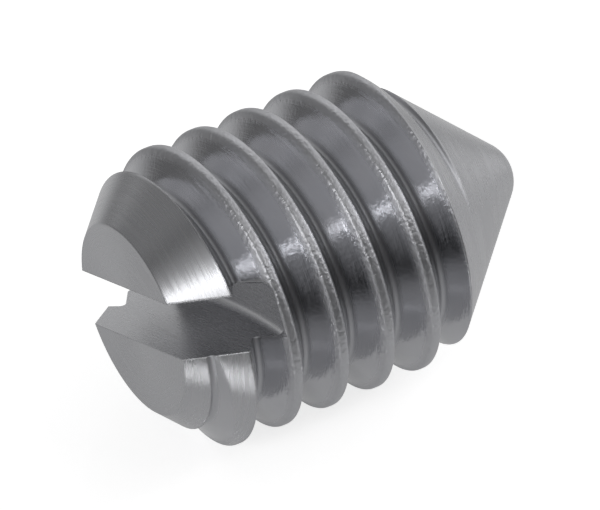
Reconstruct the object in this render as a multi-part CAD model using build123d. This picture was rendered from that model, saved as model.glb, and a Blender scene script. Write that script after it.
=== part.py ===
import os
from math import ceil, cos, pi, radians, sin, tan

from build123d import *

# Slotted set screw with a cone point and a metric coarse thread, turned from one piece of steel bar.
# Millimetres. The screw lies on its thread crests along X: slotted end at -X, cone point at +X, +Z up.

# Thread
thread_d = 5.82               # across the crests, a little under the nominal 6
pitch = 1.0                   # travel of one right-hand turn
depth_share = 0.65            # crest to root, as a share of the pitch
crest_share = 0.16            # flat left along the crest, as a share of the pitch
root_share = 0.09             # flat of the root, as a share of the pitch
thread_turn = -58.5           # where the crest meets the plane of the slotted end, degrees about the axis

# Ends
length = 8.22                 # slotted end to the tip of the point
end_face_d = 3.84             # flat of the slotted end, inside its chamfer
chamfer_angle = 45            # between the end face and the chamfer, degrees
point_angle = 90              # full angle of the cone point, degrees
tip_r = 0.79                  # rounding of the point

# Driver slot, cut by a round saw that plunges along the axis
slot_w = 1.1
slot_depth = 1.955            # at the axis; the floor rises towards both sides with the saw's round
slot_aside = 0.104            # middle of the slot beside the axis, as the saw left it
slot_turn = 61.7              # direction of the slot about the axis, degrees
saw_r = 18                    # round of the slot floor
saw_edge_r = 0.12             # rounding between floor and walls

# Reach of the cut past the metal
groove_over_share = 0.12      # groove past the crests, as a share of its depth

crest_r = thread_d / 2
root_r = crest_r - depth_share * pitch


def groove_corners():
    # section of the thread groove along the axis: radius, and distance from the middle of the root
    flank_share = (1 - crest_share - root_share) / 2
    outer_r = crest_r + groove_over_share * depth_share * pitch
    inner_half = root_share * pitch / 2
    outer_half = inner_half + (outer_r - root_r) * flank_share / depth_share
    return [(root_r, -inner_half), (root_r, inner_half), (outer_r, outer_half), (outer_r, -outer_half)]


def groove_turn(start):
    # one full turn of the groove: four helical sides and a flat at each end
    corners = groove_corners()
    lines = []
    for radius, side in corners:
        lines.append(Edge.make_helix(pitch, pitch, radius, center=(0, 0, start + side)))
    faces = []
    for place, line in enumerate(lines):
        faces.append(Face.make_surface_from_curves(lines[place - 1], line))
    for rise in (start, start + pitch):
        outline = [Vector(radius, 0, rise + side) for radius, side in corners]
        faces.append(Face(Wire.make_polygon(outline, close=True)))
    return Solid(Shell(faces))


def turned_blank():
    # flat end, chamfer, plain bar, cone and rounded tip
    end_r = end_face_d / 2
    half = radians(point_angle / 2)
    chamfer_top = (crest_r - end_r) * tan(radians(chamfer_angle))
    ball_z = length - tip_r
    touch = (tip_r * cos(half), ball_z + tip_r * sin(half))
    bend = (half + pi / 2) / 2
    shoulder = (tip_r * cos(bend), ball_z + tip_r * sin(bend))
    cone_start = touch[1] - (crest_r - touch[0]) / tan(half)
    with BuildSketch(Plane.XZ) as outline:
        with BuildLine():
            Polyline((0, length), (0, 0), (end_r, 0), (crest_r, chamfer_top), (crest_r, cone_start), touch)
            ThreePointArc(touch, shoulder, (0, length))
        make_face()
    return revolve(outline.sketch, Axis.Z)


def driver_slot():
    # the saw blade where it stops: a disc with rounded rims, its axle across the slot and outside the screw
    blade = Cylinder(saw_r, slot_w)
    blade = fillet(blade.edges().filter_by(GeomType.CIRCLE), saw_edge_r)
    stopped = Pos(0, slot_aside, slot_depth - saw_r) * (Rot(90, 0, 0) * blade)
    return stopped.rotate(Axis.Z, slot_turn)


# the groove starts a turn below the slotted end and runs out over the cone
turns = ceil(length / pitch) + 1
groove = [groove_turn((turn - 1) * pitch).rotate(Axis.Z, thread_turn + 180) for turn in range(turns)]
screw = turned_blank() - groove - driver_slot()

# laid along X, centred on its length, with the lowest crests at the floor
lying = Pos(-length / 2, 0, crest_r) * (Rot(0, 90, 0) * screw.solids()[0])
lying.label = "set_screw"

os.makedirs("parts", exist_ok=True)
export_step(lying, "parts/set_screw.step")
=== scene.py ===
import math

import bmesh
import bpy
import numpy as np
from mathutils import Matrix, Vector


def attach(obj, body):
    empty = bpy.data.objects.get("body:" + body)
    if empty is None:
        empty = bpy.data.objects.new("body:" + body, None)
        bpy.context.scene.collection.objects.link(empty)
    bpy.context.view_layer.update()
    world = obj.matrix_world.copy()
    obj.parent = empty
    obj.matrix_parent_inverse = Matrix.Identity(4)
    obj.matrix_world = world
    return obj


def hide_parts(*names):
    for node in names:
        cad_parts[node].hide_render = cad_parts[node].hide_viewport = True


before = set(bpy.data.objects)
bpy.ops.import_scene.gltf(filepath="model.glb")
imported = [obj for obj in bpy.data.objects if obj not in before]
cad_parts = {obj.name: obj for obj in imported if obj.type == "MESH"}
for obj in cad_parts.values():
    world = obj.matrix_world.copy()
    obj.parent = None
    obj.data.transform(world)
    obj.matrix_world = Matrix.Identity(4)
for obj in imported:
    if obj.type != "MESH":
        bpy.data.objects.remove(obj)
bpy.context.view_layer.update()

print("frame loaded, nodes:", sorted(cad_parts))

mmPerMetre = 1000

# sizes in mm, angles in degrees about the axis; the screw is drawn upright, slotted end at 0, then laid down
screw = {
    "crestR": 2.91,
    "depth": 0.65,               # crest to root
    "pitch": 1.0,
    "startTurn": -58.5,          # where the crest meets the plane of the slotted end
    "crestFlat": 0.16,           # shares of the pitch, before the corners are rounded
    "rootFlat": 0.09,
    "crestRound": 0.07,
    "rootRound": 0.075,
    "length": 8.22,
    "endR": 1.92,                # flat of the slotted end
    "chamferAngle": 45.0,
    "pointAngle": 90.0,
    "tipR": 0.79,
    "coneFrom": 6.4,             # above this height only the plain cone is left
    "columns": 192,              # mesh points round the axis, then rows on each stretch of the outline
    "arcRows": 6,
    "flankRows": 7,
    "coneRows": 12,
    "tipRows": 14,
    "sparePitches": 3,           # drawn past both ends of the thread, then cut back
    "halvings": 30,              # steps of the search for a crossing
}


def sectionStops(s):
    # the thread's section from the middle of the crest to the middle of the root: crest flat, crest arc,
    # straight flank, root arc, root flat; gives where each begins and the slope of the flank
    half = s["pitch"] / 2
    crestHalf = s["crestFlat"] * half
    rootHalf = s["rootFlat"] * half
    run = half - crestHalf - rootHalf
    lean = math.atan2(run, s["depth"])
    bite = math.tan((math.pi / 2 - lean) / 2)      # tangent length of a corner arc of radius 1
    crestBite = bite * s["crestRound"]
    rootBite = bite * s["rootRound"]
    return {
        "crestEnd": crestHalf - crestBite, "flankStart": crestHalf + crestBite * math.sin(lean),
        "flankEnd": half - rootHalf - rootBite * math.sin(lean), "rootStart": half - rootHalf + rootBite,
        "crestHalf": crestHalf, "slope": s["depth"] / run, "lean": lean,
    }


def threadRadius(turns, s):
    # turns counts pitches along the axis from a crest; the distance to the nearest crest picks flat, arc
    # or flank
    stop = sectionStops(s)
    away = np.abs(turns - np.round(turns)) * s["pitch"]
    rootR = s["crestR"] - s["depth"]
    crestArc = np.clip(away - stop["crestEnd"], 0, s["crestRound"])
    rootArc = np.clip(stop["rootStart"] - away, 0, s["rootRound"])
    onCrest = s["crestR"] - s["crestRound"] + np.sqrt(s["crestRound"] ** 2 - crestArc ** 2)
    onFlank = s["crestR"] - (away - stop["crestHalf"]) * stop["slope"]
    onRoot = rootR + s["rootRound"] - np.sqrt(s["rootRound"] ** 2 - rootArc ** 2)
    radius = np.where(away < stop["flankStart"], onCrest, onFlank)
    return np.where(away > stop["flankEnd"], onRoot, radius)


def pointSizes(s):
    # the ball of the tip touches the cone where the cone's normal leaves the ball's middle
    half = math.radians(s["pointAngle"] / 2)
    ballZ = s["length"] - s["tipR"]
    return {"half": half, "ballZ": ballZ, "touchR": s["tipR"] * math.cos(half),
            "touchZ": ballZ + s["tipR"] * math.sin(half)}


def turnedRadius(height, s):
    # the turned outline: the chamfer grows from the end face, the cone shrinks to the tip, and the smaller
    # one holds
    point = pointSizes(s)
    chamfer = s["endR"] + height / math.tan(math.radians(s["chamferAngle"]))
    return np.minimum(chamfer, point["touchR"] + (point["touchZ"] - height) * math.tan(point["half"]))


def anglesRound(s):
    # one angle for each column of the mesh, evenly round the axis
    return np.arange(s["columns"]) / s["columns"] * 2 * math.pi


def ringCells(rings, count):
    # four-cornered cells between each ring of points and the next, closed round
    ring = np.arange(rings - 1)[:, None] * count
    here = np.arange(count)[None, :]
    after = (here + 1) % count
    corner = [ring + here, ring + after, ring + count + after, ring + count + here]
    return np.stack(corner, -1).reshape(-1, 4)


def threadRows(s):
    # phases of one pitch, closest together on the two arcs, from root middle to root middle
    stop = sectionStops(s)
    swing = np.linspace(0, math.pi / 2 - stop["lean"], s["arcRows"])
    crestArc = stop["crestEnd"] + s["crestRound"] * np.sin(swing)
    rootArc = stop["rootStart"] - s["rootRound"] * np.sin(swing[::-1])
    flank = np.linspace(stop["flankStart"], stop["flankEnd"], s["flankRows"])[1:-1]
    halfSide = np.concatenate([crestArc, flank, rootArc])
    return np.concatenate([-halfSide[::-1], [0.0], halfSide, [s["pitch"] / 2]]) / s["pitch"]


def threadSurface(s):
    # grid in two parameters: angle round the axis, and turns along the thread; height = pitch times (turns
    # plus angle over a full turn), radius = the smaller of thread and turned outline, so that rows follow
    # the helix
    phases = threadRows(s)
    perTurn = len(phases)
    pitches = np.arange(-s["sparePitches"], math.ceil(s["coneFrom"] / s["pitch"]) + s["sparePitches"])
    turns = (pitches[:, None] + phases).ravel()
    angle = anglesRound(s)
    shift = (angle - math.radians(s["startTurn"])) / (2 * math.pi)
    grid = np.repeat(turns[:, None], s["columns"], 1)

    def excess(t, columnShift):
        return threadRadius(t, s) - turnedRadius(s["pitch"] * (t + columnShift), s)

    # where the two outlines cross between two rows, the nearer row moves onto the crossing
    over = excess(grid, shift) > 0
    row, column = np.nonzero(over[1:] != over[:-1])
    low = turns[row]
    high = turns[row + 1]
    lowSide = over[row, column]
    for _ in range(s["halvings"]):
        middle = (low + high) / 2
        same = (excess(middle, shift[column]) > 0) == lowSide
        low = np.where(same, middle, low)
        high = np.where(same, high, middle)
    nearer = row + (low - turns[row] > turns[row + 1] - low)
    grid[nearer, column] = low

    height = s["pitch"] * (grid + shift)
    radius = np.minimum(threadRadius(grid, s), turnedRadius(height, s))
    below = height < 0
    above = height > s["coneFrom"]
    height = np.clip(height, 0, s["coneFrom"])
    radius = np.where(below, s["endR"], np.where(above, turnedRadius(s["coneFrom"], s), radius))
    points = np.stack([radius * np.cos(angle), radius * np.sin(angle), height], -1)

    # each cell joins its column to the next; past the last column the same helix is one pitch further up
    rows = np.arange(len(turns) - 1 - perTurn)[:, None]
    columnsHere = np.arange(s["columns"])[None, :]
    columnsNext = (columnsHere + 1) % s["columns"]
    rowsNext = rows + np.where(columnsNext == 0, perTurn, 0)
    rowsHere = rows + 0 * columnsHere
    corner = [rowsHere * s["columns"] + columnsHere, rowsNext * s["columns"] + columnsNext,
              (rowsNext + 1) * s["columns"] + columnsNext, (rowsHere + 1) * s["columns"] + columnsHere]
    return points.reshape(-1, 3), [c.ravel() for c in corner]


def splitCells(points, corner, s):
    # of a cell's two diagonals, keep the one whose middle lies closer to the true surface
    def miss(a, b):
        middle = (points[a] + points[b]) / 2
        angle = np.arctan2(middle[:, 1], middle[:, 0])
        turns = middle[:, 2] / s["pitch"] - (angle - math.radians(s["startTurn"])) / (2 * math.pi)
        true = np.minimum(threadRadius(turns, s), turnedRadius(middle[:, 2], s))
        return np.abs(np.hypot(middle[:, 0], middle[:, 1]) - true)

    a, b, c, d = corner
    first = miss(a, c) <= miss(b, d)
    return np.concatenate([
        np.stack([a, b, np.where(first, c, d)], -1),
        np.stack([np.where(first, a, b), c, d], -1),
    ])


def pointSurface(s):
    # revolved profile: straight cone from the last thread to the ball, then an arc to the tip
    point = pointSizes(s)
    coneZ = np.linspace(s["coneFrom"], point["touchZ"], s["coneRows"])
    swing = np.linspace(point["half"], math.pi / 2, s["tipRows"])[1:]
    radius = np.concatenate([turnedRadius(coneZ, s), s["tipR"] * np.cos(swing)])[:, None]
    height = np.concatenate([coneZ, point["ballZ"] + s["tipR"] * np.sin(swing)])[:, None]
    angle = anglesRound(s)
    points = np.stack([radius * np.cos(angle), radius * np.sin(angle), height + 0 * angle], -1)
    cells = ringCells(len(radius), s["columns"])
    return points.reshape(-1, 3), np.concatenate([cells[:, [0, 1, 2]], cells[:, [0, 2, 3]]])


def endDisc(s):
    # flat of the slotted end: one ring of points round a middle point, facing down the axis
    angle = anglesRound(s)
    ring = np.stack([s["endR"] * np.cos(angle), s["endR"] * np.sin(angle), 0 * angle], -1)
    here = np.arange(s["columns"])
    faces = np.stack([(here + 1) % s["columns"], here, 0 * here + s["columns"]], -1)
    return np.concatenate([ring, [[0, 0, 0]]]), faces


slotCut = {
    "wide": 1.1,
    "deep": 1.955,               # at the axis
    "aside": 0.104,              # middle of the slot beside the axis
    "turn": 61.7,
    "sawR": 18.0,
    "floorRound": 0.17,          # between floor and walls
    "swing": 0.25,               # half angle of the swept fan, radians
    "steps": 7,                  # mesh rows on a rounded corner, then along the fan
    "spokes": 96,
}


def slotTool(c):
    # the saw that cut the slot, as a revolved rim: half outline (across, radius) with round corners, swept
    # through a fan wide enough for the screw; its axle lies across the slot, under the end face by radius
    # less depth
    quarter = np.linspace(0, math.pi / 2, c["steps"])
    half = c["wide"] / 2
    corner = np.stack([half - c["floorRound"] + c["floorRound"] * np.cos(quarter),
                       c["sawR"] - c["floorRound"] + c["floorRound"] * np.sin(quarter)], -1)
    side = np.concatenate([[[half, c["sawR"] - 2 * c["deep"]]], corner])
    rim = np.concatenate([side, side[::-1] * [-1, 1]])
    swing = np.linspace(-c["swing"], c["swing"], c["spokes"])[:, None]
    along = rim[:, 1] * np.sin(swing)
    height = rim[:, 1] * np.cos(swing) + c["deep"] - c["sawR"]
    across = rim[:, 0] + c["aside"] + 0 * swing
    turn = math.radians(c["turn"])
    points = np.stack([along * math.cos(turn) - across * math.sin(turn),
                       along * math.sin(turn) + across * math.cos(turn), height], -1)
    count = len(rim)
    firstCap = np.arange(count)
    lastCap = firstCap + (c["spokes"] - 1) * count
    faces = ringCells(c["spokes"], count).tolist() + [firstCap.tolist(), lastCap.tolist()]
    return points.reshape(-1, 3), faces


# distances in mm, angle in degrees
meshing = {
    "merge": 1e-4,
    "sliver": 1e-5,
    "sharpFrom": 30.0,
    "slotTouch": 1e-3,           # a face this close to the slot, the end face or the turned outline is on it
    "faceTouch": 1e-4,
    "turnedTouch": 2e-3,
}


def meshFrom(name, points, faces):
    mesh = bpy.data.meshes.new(name)
    mesh.from_pydata(points.tolist(), [], faces)
    build = bmesh.new()
    build.from_mesh(mesh)
    bmesh.ops.remove_doubles(build, verts=build.verts, dist=meshing["merge"])
    bmesh.ops.dissolve_degenerate(build, edges=build.edges, dist=meshing["sliver"])
    bmesh.ops.recalc_face_normals(build, faces=build.faces)
    build.to_mesh(mesh)
    build.free()
    thing = bpy.data.objects.new(name, mesh)
    bpy.context.scene.collection.objects.link(thing)
    return thing


def drawScrew(s, c):
    # thread, cone and end face as one closed surface, with the slot cut out of it
    threadPoints, cells = threadSurface(s)
    threadFaces = splitCells(threadPoints, cells, s)
    conePoints, coneFaces = pointSurface(s)
    discPoints, discFaces = endDisc(s)
    coneAt = len(threadPoints)
    discAt = coneAt + len(conePoints)
    points = np.concatenate([threadPoints, conePoints, discPoints])
    faces = np.concatenate([threadFaces, coneFaces + coneAt, discFaces + discAt])
    body = meshFrom("set_screw_body", points, faces.tolist())
    print("screw surface", len(body.data.polygons), "faces before the slot")
    cutter = meshFrom("slot_tool", *slotTool(c))
    cut = body.modifiers.new("slot", "BOOLEAN")
    cut.operation = "DIFFERENCE"
    cut.solver = "EXACT"
    cut.object = cutter
    mesh = bpy.data.meshes.new_from_object(body.evaluated_get(bpy.context.evaluated_depsgraph_get()))
    body.modifiers.clear()
    body.data = mesh
    bpy.data.objects.remove(cutter)
    print("slot cut,", len(mesh.polygons), "faces")
    return body


def finishOf(points, s, c):
    # which finish a face has, by where its middle lies: 0 thread, 1 turned ends, 2 slot
    x, y, z = points.T
    turn = math.radians(c["turn"])
    along = x * math.cos(turn) + y * math.sin(turn)
    across = y * math.cos(turn) - x * math.sin(turn) - c["aside"]
    floor = c["deep"] - c["sawR"] + np.sqrt(c["sawR"] ** 2 - along ** 2)
    inSlot = (np.abs(across) < c["wide"] / 2 + meshing["slotTouch"]) & (z < floor + meshing["slotTouch"])
    onOutline = np.hypot(x, y) > turnedRadius(z, s) - meshing["turnedTouch"]
    turned = (z < meshing["faceTouch"]) | onOutline | (z > s["coneFrom"])
    return np.where(inSlot, 2, np.where(turned, 1, 0))


def layDown(body, s, c):
    # upright (x, y, z) in mm becomes lying (z, y, -x) in metres, its middle over the origin and its crests
    # on the floor
    mesh = body.data
    flat = np.empty(len(mesh.vertices) * 3)
    mesh.vertices.foreach_get("co", flat)
    x, y, z = flat.reshape(-1, 3).T
    middles = np.empty(len(mesh.polygons) * 3)
    mesh.polygons.foreach_get("center", middles)
    finish = finishOf(middles.reshape(-1, 3), s, c)
    lying = np.stack([z - s["length"] / 2, y, s["crestR"] - x], -1) / mmPerMetre
    mesh.vertices.foreach_set("co", lying.ravel())
    mesh.polygons.foreach_set("use_smooth", np.ones(len(mesh.polygons), bool))
    mesh.polygons.foreach_set("material_index", finish.astype(np.int32))
    mesh.set_sharp_from_angle(angle=math.radians(meshing["sharpFrom"]))
    mesh.update()


def toLinear(hexColour):
    # sRGB hex to linear: each channel over 255, then the standard curve undone
    channel = np.array([int(hexColour[k:k + 2], 16) for k in (1, 3, 5)]) / 255
    linear = np.where(channel <= 0.04045, channel / 12.92, ((channel + 0.055) / 1.055) ** 2.4)
    return (*linear.tolist(), 1.0)


def addNode(tree, kind, settings=None, values=None, links=None):
    # one node: its settings, its socket values, and links as {input: node or output}, where a node gives its
    # first output; by number, Map Range has from low, from high, to low and to high at 1 to 4, and Mix has
    # its two colours at 6 and 7
    node = tree.nodes.new("ShaderNode" + kind)
    for key, value in (settings or {}).items():
        setattr(node, key, value)
    for key, value in (values or {}).items():
        node.inputs[key].default_value = value
    for key, source in (links or {}).items():
        output = source if isinstance(source, bpy.types.NodeSocket) else source.outputs[0]
        tree.links.new(output, node.inputs[key])
    return node


def newMaterial(name):
    material = bpy.data.materials.new(name)
    material.use_nodes = True
    material.node_tree.nodes.clear()
    return material, material.node_tree


mixedColour = 2                      # Mix's colour output
noiseSpan = {1: 0.3, 2: 0.7}         # where nearly all of a noise lies
quarterTurn = 0.25
radiusShare = 0.6                    # of the radius in a place along the outline, so flat ends get rings


def ringPlace(tree, s, perMm, breakUp):
    # a place that changes fast along a turned outline and slowly round it, so noise there makes tool marks
    place = addNode(tree, "TexCoord")
    moved = addNode(tree, "VectorMath", {"operation": "SUBTRACT"}, {1: (0, 0, s["crestR"] / mmPerMetre)},
                    {0: place.outputs["Object"]})
    inMm = addNode(tree, "VectorMath", {"operation": "SCALE"}, {"Scale": mmPerMetre}, {0: moved})
    spoke = addNode(tree, "VectorMath", {"operation": "MULTIPLY"}, {1: (0, 1, 1)}, {0: inMm})
    radius = addNode(tree, "VectorMath", {"operation": "LENGTH"}, links={0: spoke}).outputs["Value"]
    around = addNode(tree, "VectorMath", {"operation": "NORMALIZE"}, links={0: spoke})
    height = addNode(tree, "SeparateXYZ", links={0: inMm})
    along = addNode(tree, "Math", {"operation": "MULTIPLY_ADD"}, {1: radiusShare}, {0: radius, 2: height})
    fast = addNode(tree, "Math", {"operation": "MULTIPLY"}, {1: perMm}, {0: along})
    slow = addNode(tree, "VectorMath", {"operation": "SCALE"}, {"Scale": breakUp}, {0: around})
    row = addNode(tree, "CombineXYZ", links={0: fast})
    rings = addNode(tree, "VectorMath", {"operation": "ADD"}, links={0: slow, 1: row})
    # direction round the axis, for gloss that spreads across the marks
    circling = addNode(tree, "VectorMath", {"operation": "CROSS_PRODUCT"}, {0: (1, 0, 0)}, {1: around})
    return {"rings": rings, "inMm": inMm, "circling": circling, "radius": radius, "along": height}


def closeMetal(tree, m, shade, rough, height, circling=None):
    # last nodes of each steel: fine relief, then the metal; on turned work the relief starts from softened
    # edges and the gloss spreads across the marks
    relief = {"Height": height}
    surface = {"Base Color": shade.outputs[mixedColour], "Roughness": rough}
    values = {"Metallic": 1.0}
    if circling is not None:
        relief["Normal"] = addNode(tree, "Bevel", {"samples": m["edgeSamples"]}, {"Radius": m["edgeRound"]})
        surface["Tangent"] = circling
        values["Anisotropic"] = m["spread"]
        values["Anisotropic Rotation"] = quarterTurn
    amount = {"Strength": m["bumpShare"], "Distance": m["bump"]}
    surface["Normal"] = addNode(tree, "Bump", values=amount, links=relief)
    metal = addNode(tree, "BsdfPrincipled", values=values, links=surface)
    addNode(tree, "OutputMaterial", links={"Surface": metal})


threadSteel = {
    "dull": "#b4b5b9",
    "bright": "#c0c0c3",
    "roughFrom": 0.1,
    "roughTo": 0.18,
    "crestRough": 0.3,           # added on torn crests
    "wearBelow": 0.2,            # mm under the crest where the wear begins, and where it is full
    "wearFull": 0.04,
    "rootRough": 0.35,           # added in the roots, up to rootTo mm over them
    "rootTo": 0.12,
    "marksPerMm": 22.0,          # tool marks about 0.05 mm apart, coarser than real ones so that they show
    "marksDetail": 3.0,
    "marksGrain": 0.6,
    "marksBreak": 1.6,
    "dentsPerMm": 12.0,          # torn spots of about 0.08 mm
    "dentsDetail": 2.0,
    "flankDents": 1.1,
    "crestDents": 7.0,
    "cloudsPerMm": 1.3,          # patches of gloss under a millimetre across
    "cloudsDetail": 2.0,
    "bump": 5e-6,                # metres, as the edge is
    "bumpShare": 0.6,
    "edgeRound": 6e-5,
    "edgeSamples": 6,
    "spread": 0.3,
}


def steelThread(s, m):
    # bright steel with a cut thread: fine tool marks round it and faint cloudy gloss, with torn, duller
    # crests and roots that the tool dragged, so that they show soft and dark
    material, tree = newMaterial("steelCutThread")
    place = ringPlace(tree, s, m["marksPerMm"], m["marksBreak"])
    crest = {1: s["crestR"] - m["wearBelow"], 2: s["crestR"] - m["wearFull"]}
    rootR = s["crestR"] - s["depth"]
    root = {1: rootR, 2: rootR + m["rootTo"]}
    grain = {"Scale": 1.0, "Detail": m["marksDetail"], "Roughness": m["marksGrain"]}
    marks = addNode(tree, "TexNoise", values=grain, links={"Vector": place["rings"]})
    dents = addNode(tree, "TexNoise", values={"Scale": m["dentsPerMm"], "Detail": m["dentsDetail"]},
                    links={"Vector": place["inMm"]})
    clouds = addNode(tree, "TexNoise", values={"Scale": m["cloudsPerMm"], "Detail": m["cloudsDetail"]},
                     links={"Vector": place["inMm"]})
    span = {**noiseSpan, 3: m["roughFrom"], 4: m["roughTo"]}
    gloss = addNode(tree, "MapRange", values=span, links={0: clouds})
    byRadius = {0: place["radius"]}
    torn = addNode(tree, "MapRange", values={**crest, 3: 0.0, 4: m["crestRough"]}, links=byRadius)
    dragged = addNode(tree, "MapRange", values={**root, 3: m["rootRough"], 4: 0.0}, links=byRadius)
    worn = addNode(tree, "Math", {"operation": "ADD"}, links={0: dragged, 1: torn})
    rough = addNode(tree, "Math", {"operation": "ADD"}, links={0: gloss, 1: worn})
    dentSpan = {**crest, 3: m["flankDents"], 4: m["crestDents"]}
    deep = addNode(tree, "MapRange", values=dentSpan, links=byRadius)
    height = addNode(tree, "Math", {"operation": "MULTIPLY_ADD"}, links={0: dents, 1: deep, 2: marks})
    tones = {6: toLinear(m["dull"]), 7: toLinear(m["bright"])}
    shade = addNode(tree, "Mix", {"data_type": "RGBA"}, tones, {0: clouds})
    closeMetal(tree, m, shade, rough, height, place["circling"])
    return material


turnedSteel = {
    "dull": "#b6b7ba",
    "bright": "#bfbfc2",
    "roughFrom": 0.22,
    "roughTo": 0.32,
    "marksPerMm": 13.0,          # feed marks about 0.08 mm apart
    "marksDetail": 4.0,
    "marksGrain": 0.65,
    "marksBreak": 1.2,
    "faceMarks": 0.35,           # depth of the marks on the end face, up to radius faceTo mm
    "faceTo": 1.85,
    "chamferFrom": 1.95,         # full depth from this radius on
    "slotEndMarks": 1.0,         # depth at the slotted end and on the cone, between two places along X in mm
    "coneMarks": 0.12,
    "fadeFrom": -2.0,
    "fadeTo": 1.0,
    "bump": 6e-6,                # metres, as the edge is
    "bumpShare": 0.5,
    "edgeRound": 6e-5,
    "edgeSamples": 6,
    "spread": 0.7,
}


def steelTurned(s, m):
    # bright steel faced and chamfered on a lathe: visible rings that draw the gloss out into a fan, fainter on
    # the cone
    material, tree = newMaterial("steelTurnedEnds")
    place = ringPlace(tree, s, m["marksPerMm"], m["marksBreak"])
    ends = {1: m["fadeFrom"], 2: m["fadeTo"], 3: m["slotEndMarks"], 4: m["coneMarks"]}
    face = {1: m["faceTo"], 2: m["chamferFrom"], 3: m["faceMarks"], 4: 1.0}
    grain = {"Scale": 1.0, "Detail": m["marksDetail"], "Roughness": m["marksGrain"]}
    marks = addNode(tree, "TexNoise", values=grain, links={"Vector": place["rings"]})
    span = {**noiseSpan, 3: m["roughFrom"], 4: m["roughTo"]}
    rough = addNode(tree, "MapRange", values=span, links={0: marks})
    tones = {6: toLinear(m["dull"]), 7: toLinear(m["bright"])}
    shade = addNode(tree, "Mix", {"data_type": "RGBA"}, tones, {0: marks})
    fade = addNode(tree, "MapRange", values=ends, links={0: place["along"]})
    calm = addNode(tree, "MapRange", values=face, links={0: place["radius"]})
    depth = addNode(tree, "Math", {"operation": "MULTIPLY"}, links={0: calm, 1: fade})
    height = addNode(tree, "Math", {"operation": "MULTIPLY"}, links={0: marks, 1: depth})
    closeMetal(tree, m, shade, rough, height, place["circling"])
    return material


sawnSteel = {
    "dull": "#afb0b3",
    "bright": "#bcbcbf",
    "roughFrom": 0.22,
    "roughTo": 0.3,
    "alongPerMm": 0.9,           # long streaks, about 0.06 mm apart
    "acrossPerMm": 16.0,
    "marksDetail": 3.0,
    "marksGrain": 0.6,
    "bump": 5e-6,                # metres
    "bumpShare": 0.06,
}


def steelSawn(c, m):
    # bare steel cut by a slitting saw: straight streaks along the slot, a little duller than the turned ends
    material, tree = newMaterial("steelSawnSlot")
    sine = math.sin(math.radians(c["turn"]))
    cosine = math.cos(math.radians(c["turn"]))
    place = addNode(tree, "TexCoord")
    inMm = addNode(tree, "VectorMath", {"operation": "SCALE"}, {"Scale": mmPerMetre},
                   {0: place.outputs["Object"]})
    along = addNode(tree, "VectorMath", {"operation": "DOT_PRODUCT"}, {1: (0, sine, -cosine)}, {0: inMm})
    across = addNode(tree, "VectorMath", {"operation": "DOT_PRODUCT"}, {1: (0, cosine, sine)}, {0: inMm})
    depth = addNode(tree, "SeparateXYZ", links={0: inMm})
    turned = addNode(tree, "CombineXYZ",
                     links={0: along.outputs["Value"], 1: across.outputs["Value"], 2: depth})
    stretched = addNode(tree, "VectorMath", {"operation": "MULTIPLY"},
                        {1: (m["alongPerMm"], m["acrossPerMm"], m["acrossPerMm"])}, {0: turned})
    grain = {"Scale": 1.0, "Detail": m["marksDetail"], "Roughness": m["marksGrain"]}
    marks = addNode(tree, "TexNoise", values=grain, links={"Vector": stretched})
    span = {**noiseSpan, 3: m["roughFrom"], 4: m["roughTo"]}
    rough = addNode(tree, "MapRange", values=span, links={0: marks})
    tones = {6: toLinear(m["dull"]), 7: toLinear(m["bright"])}
    shade = addNode(tree, "Mix", {"data_type": "RGBA"}, tones, {0: marks})
    closeMetal(tree, m, shade, rough, marks)
    return material


piece = drawScrew(screw, slotCut)
layDown(piece, screw, slotCut)
piece.name = "set_screw_metal"
piece.data.materials.append(steelThread(screw, threadSteel))
piece.data.materials.append(steelTurned(screw, turnedSteel))
piece.data.materials.append(steelSawn(slotCut, sawnSteel))
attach(piece, "root")
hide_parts("set_screw")
print("screw dressed")


def directionTo(azimuth, elevation):
    # unit vector: azimuth turns from +X towards +Y, elevation rises from the floor
    a = math.radians(azimuth)
    e = math.radians(elevation)
    return Vector((math.cos(e) * math.cos(a), math.cos(e) * math.sin(a), math.sin(e)))


# metres
floorSheet = {
    "half": 2.0,
    "colour": "#c8c8c8",
    "farPaintedShade": "#868686",      # painted shade, seen only in reflections and bounce light, not by the camera
    "paleTo": 0.013,             # the colour turns to the far painted shade between these distances
    "paleGone": 0.026,
    "white": "#ffffff",
    "whiteSeen": 0.75,           # strength of the white that the camera sees over the lit colour
    "paintedGlowShare": 0.39,      # painted light: share of a white glow that only reflections see, full and gone at these distances
    "whiteTo": 0.008,
    "whiteGone": 0.017,
    "whiteMiddle": (0.002, 0.003, 0),
    "skinIor": 1.9,
    "skinRough": 0.06,
    "skinSeen": 0.1,             # share of the skin's gloss that the camera sees
}


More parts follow.
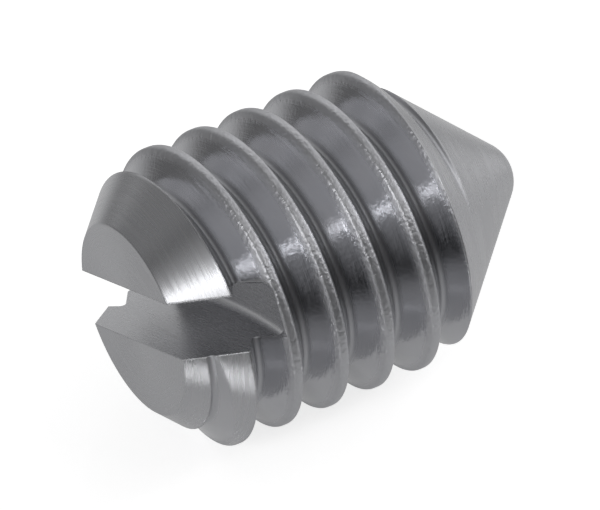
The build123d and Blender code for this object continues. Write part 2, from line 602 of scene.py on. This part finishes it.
def whiteFloor(f):
    # pale acrylic sheet with a glossy skin, stronger than a real one's, as the reflections in the metal ask:
    # the camera sees white over the lit colour, so the shadow stays; the metal sees a painted white glow near
    # the screw and a painted darker shade further out
    half = f["half"]
    mesh = bpy.data.meshes.new("floor")
    corners = [(-half, -half, 0), (half, -half, 0), (half, half, 0), (-half, half, 0)]
    mesh.from_pydata(corners, [], [(0, 1, 2, 3)])
    floor = bpy.data.objects.new("floor", mesh)
    bpy.context.scene.collection.objects.link(floor)
    material, tree = newMaterial("paleAcrylicSheet")
    path = addNode(tree, "LightPath").outputs
    place = addNode(tree, "TexCoord")
    away = addNode(tree, "VectorMath", {"operation": "DISTANCE"}, {1: f["whiteMiddle"]},
                   {0: place.outputs["Object"]}).outputs["Value"]
    # painted light: a white glow round the screw that only reflections and refractions see, fading with
    # distance
    near = addNode(tree, "MapRange", {"interpolation_type": "SMOOTHSTEP"},
                   {1: f["whiteTo"], 2: f["whiteGone"], 3: f["paintedGlowShare"], 4: 0.0}, {0: away})
    bent = addNode(tree, "Math", {"operation": "MAXIMUM"},
                   links={0: path["Is Transmission Ray"], 1: path["Is Glossy Ray"]})
    part = addNode(tree, "Math", {"operation": "MULTIPLY"}, links={0: bent, 1: near})
    # the sheet's own colour near the screw, and painted shade further out that the camera doesn't see
    beyond = addNode(tree, "MapRange", {"interpolation_type": "SMOOTHSTEP"},
                     {1: f["paleTo"], 2: f["paleGone"], 3: 0.0, 4: 1.0}, {0: away})
    unseen = addNode(tree, "Math", {"operation": "SUBTRACT", "use_clamp": True},
                     links={0: beyond, 1: path["Is Camera Ray"]})
    tones = {6: toLinear(f["colour"]), 7: toLinear(f["farPaintedShade"])}
    tone = addNode(tree, "Mix", {"data_type": "RGBA"}, tones, {0: unseen})
    matt = addNode(tree, "BsdfDiffuse", links={"Color": tone.outputs[mixedColour]})
    # painted light: white emission mixed over the lit colour where reflections see the glow
    glow = addNode(tree, "Emission", values={"Color": toLinear(f["white"]), "Strength": 1.0})
    lit = addNode(tree, "MixShader", links={0: part, 1: matt, 2: glow})
    # the camera's white
    seen = addNode(tree, "Math", {"operation": "MULTIPLY"}, {1: f["whiteSeen"]}, {0: path["Is Camera Ray"]})
    veil = addNode(tree, "Emission", values={"Color": toLinear(f["white"])}, links={"Strength": seen})
    pale = addNode(tree, "AddShader", links={0: lit, 1: veil})
    # the skin
    mirror = addNode(tree, "Fresnel", values={"IOR": f["skinIor"]})
    shown = addNode(tree, "MapRange", values={1: 0.0, 2: 1.0, 3: 1.0, 4: f["skinSeen"]},
                    links={0: path["Is Camera Ray"]})
    polish = addNode(tree, "Math", {"operation": "MULTIPLY"}, links={0: mirror, 1: shown})
    gloss = addNode(tree, "BsdfGlossy", values={"Roughness": f["skinRough"]})
    both = addNode(tree, "MixShader", links={0: polish, 1: pale, 2: gloss})
    addNode(tree, "OutputMaterial", links={"Surface": both})
    mesh.materials.append(material)


# each wall is full within one angle of its direction and gone past the other, degrees
walls = {
    "pointSide": {"azimuth": 6, "elevation": 22, "full": 20, "gone": 72, "bright": 0.75},
    "pointLow": {"azimuth": 0, "elevation": 10, "full": 8, "gone": 35, "bright": 0.53},
    "backSide": {"azimuth": 74, "elevation": 8, "full": 13, "gone": 47, "bright": 0.7},
    "leftBack": {"azimuth": 135, "elevation": 15, "full": 10, "gone": 45, "bright": 0.27},
    "ceiling": {"azimuth": 0, "elevation": 90, "full": 20, "gone": 70, "bright": 0.17},
    "slotSide": {"azimuth": -158, "elevation": 14, "full": 12, "gone": 42, "bright": 0.51},
}


def studioWorld(walls, white):
    # soft studio walls, each a round glow that fades smoothly between two angles; dark where the camera
    # stands, and plain white where the camera itself sees past the floor
    world = bpy.data.worlds.new("studio")
    bpy.context.scene.world = world
    world.use_nodes = True
    tree = world.node_tree
    tree.nodes.clear()
    place = addNode(tree, "TexCoord")
    glows = []
    for wall in walls.values():
        near = math.cos(math.radians(wall["full"]))
        far = math.cos(math.radians(wall["gone"]))
        middle = directionTo(wall["azimuth"], wall["elevation"])
        facing = addNode(tree, "VectorMath", {"operation": "DOT_PRODUCT"}, {1: middle},
                         {0: place.outputs["Generated"]})
        glows.append(addNode(tree, "MapRange", {"interpolation_type": "SMOOTHSTEP"},
                             {1: far, 2: near, 3: 0.0, 4: wall["bright"]}, {0: facing.outputs["Value"]}))
    total = glows[0]
    for glow in glows[1:]:
        total = addNode(tree, "Math", {"operation": "ADD"}, links={0: total, 1: glow})
    room = addNode(tree, "Background", values={"Color": toLinear(white)}, links={"Strength": total})
    plain = addNode(tree, "Background", values={"Color": toLinear(white), "Strength": 1.0})
    path = addNode(tree, "LightPath").outputs
    seen = addNode(tree, "MixShader", links={0: path["Is Camera Ray"], 1: room, 2: plain})
    addNode(tree, "OutputWorld", links={"Surface": seen})


# distance and size in metres
lamps = {
    "leftStrip": {"azimuth": -165, "elevation": 14, "far": 1.0, "wide": 0.18, "tall": 0.3, "bright": 2.7},
    "leftPanel": {"azimuth": -152, "elevation": 35, "far": 1.0, "wide": 0.24, "tall": 0.24, "bright": 13.0},
    "frontPanel": {"azimuth": -56, "elevation": 46, "far": 1.0, "wide": 0.22, "tall": 0.14, "bright": 2.6},
    "frontSpot": {"azimuth": -38, "elevation": 42, "far": 1.0, "wide": 0.14, "tall": 0.12, "bright": 3.2},
    "crestSpot": {"azimuth": -24, "elevation": 32, "far": 1.0, "wide": 0.12, "tall": 0.12, "bright": 12.0},
}


def softLamp(name, lamp):
    # flat lamp facing the screw; its power follows from its brightness and area
    data = bpy.data.lights.new(name, "AREA")
    data.shape = "RECTANGLE"
    data.size = lamp["wide"]
    data.size_y = lamp["tall"]
    data.energy = lamp["bright"] * math.pi * lamp["wide"] * lamp["tall"]
    towards = directionTo(lamp["azimuth"], lamp["elevation"])
    thing = bpy.data.objects.new(name, data)
    bpy.context.scene.collection.objects.link(thing)
    thing.location = towards * lamp["far"]
    thing.rotation_euler = towards.to_track_quat("Z", "Y").to_euler()


whiteFloor(floorSheet)
studioWorld(walls, floorSheet["white"])
for name, lamp in lamps.items():
    softLamp(name, lamp)
print("studio set")

# azimuth counts from the front, -Y; aim in mm, the rest in metres
view = {
    "azimuth": -30.6,
    "elevation": 43.5,
    "far": 0.35,
    "aim": (-0.9933, -0.8971, 3.8118),
    "pxPerMm": 53.25,            # at the aim
    "imageWide": 600,
    "sensorMm": 36,
    "clipNear": 0.01,
    "clipFar": 20,
}
front = -90
back = directionTo(view["azimuth"] + front, view["elevation"])
cameraData = bpy.data.cameras.new("camera")
cameraData.sensor_width = view["sensorMm"]
cameraData.lens = view["pxPerMm"] * mmPerMetre * view["far"] / view["imageWide"] * view["sensorMm"]
cameraData.clip_start = view["clipNear"]
cameraData.clip_end = view["clipFar"]
camera = bpy.data.objects.new("camera", cameraData)
bpy.context.scene.collection.objects.link(camera)
camera.location = Vector(view["aim"]) / mmPerMetre + back * view["far"]
camera.rotation_euler = back.to_track_quat("Z", "Y").to_euler()
bpy.context.scene.camera = camera
bpy.context.scene.view_settings.view_transform = "Standard"
